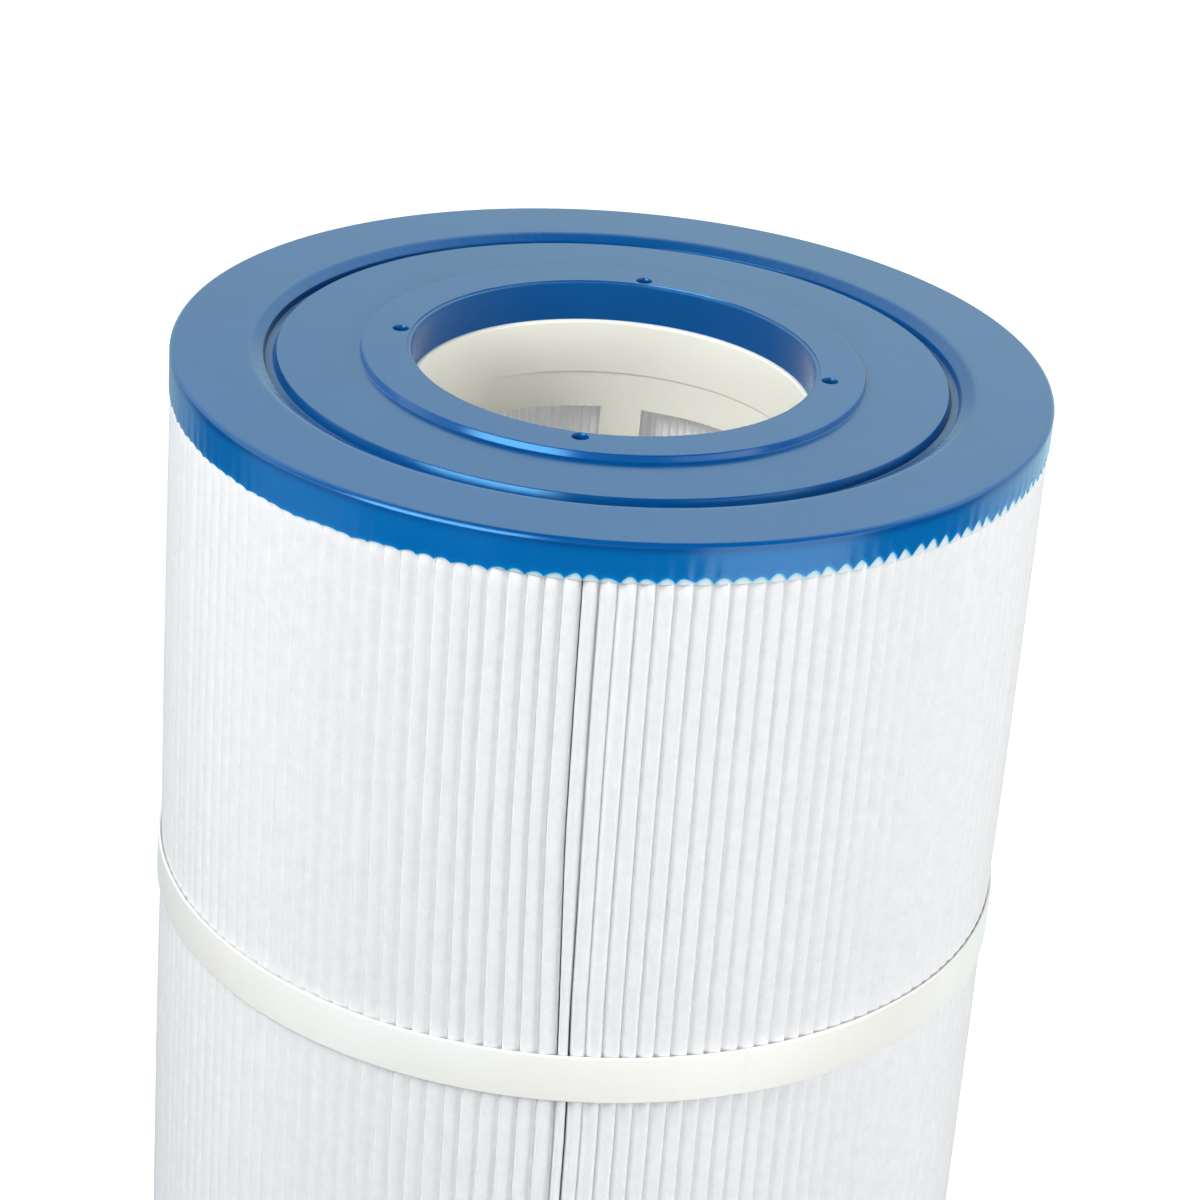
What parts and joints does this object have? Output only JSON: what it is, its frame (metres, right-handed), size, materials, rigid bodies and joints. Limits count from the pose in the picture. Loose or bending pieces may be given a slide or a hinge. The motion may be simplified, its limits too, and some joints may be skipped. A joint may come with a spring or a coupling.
{
  "type": "pleated filter cartridge",
  "caption": "Cylindrical pleated pool and spa filter cartridge with blue cast end caps, an open lattice core and plastic straps round the pleats.",
  "frame": {"origin": "centre of the lower opening, on the face of the raised ring that the cartridge stands on", "axes": "+Z along the cartridge's axis, up to the cap in the picture; -Y towards the glued seam of the pleats"},
  "size_m": [0.2286, 0.2286, 0.46],
  "materials": {
    "cap_polyurethane": "satin",
    "media_polyester": "matte",
    "seam_adhesive": "satin",
    "core_abs": "satin",
    "band_plastic": "satin"
  },
  "bodies": {
    "root": {"top_end_cap": "cap_polyurethane", "bottom_end_cap": "cap_polyurethane", "pleated_media": "media_polyester", "media_seam_bead": "seam_adhesive", "core_top_collar": "core_abs", "core_section_upper": "core_abs", "core_section_middle": "core_abs", "core_section_lower": "core_abs", "core_bottom_collar": "core_abs", "upper_band": "band_plastic", "lower_band": "band_plastic"}
  },
  "joints": []
}
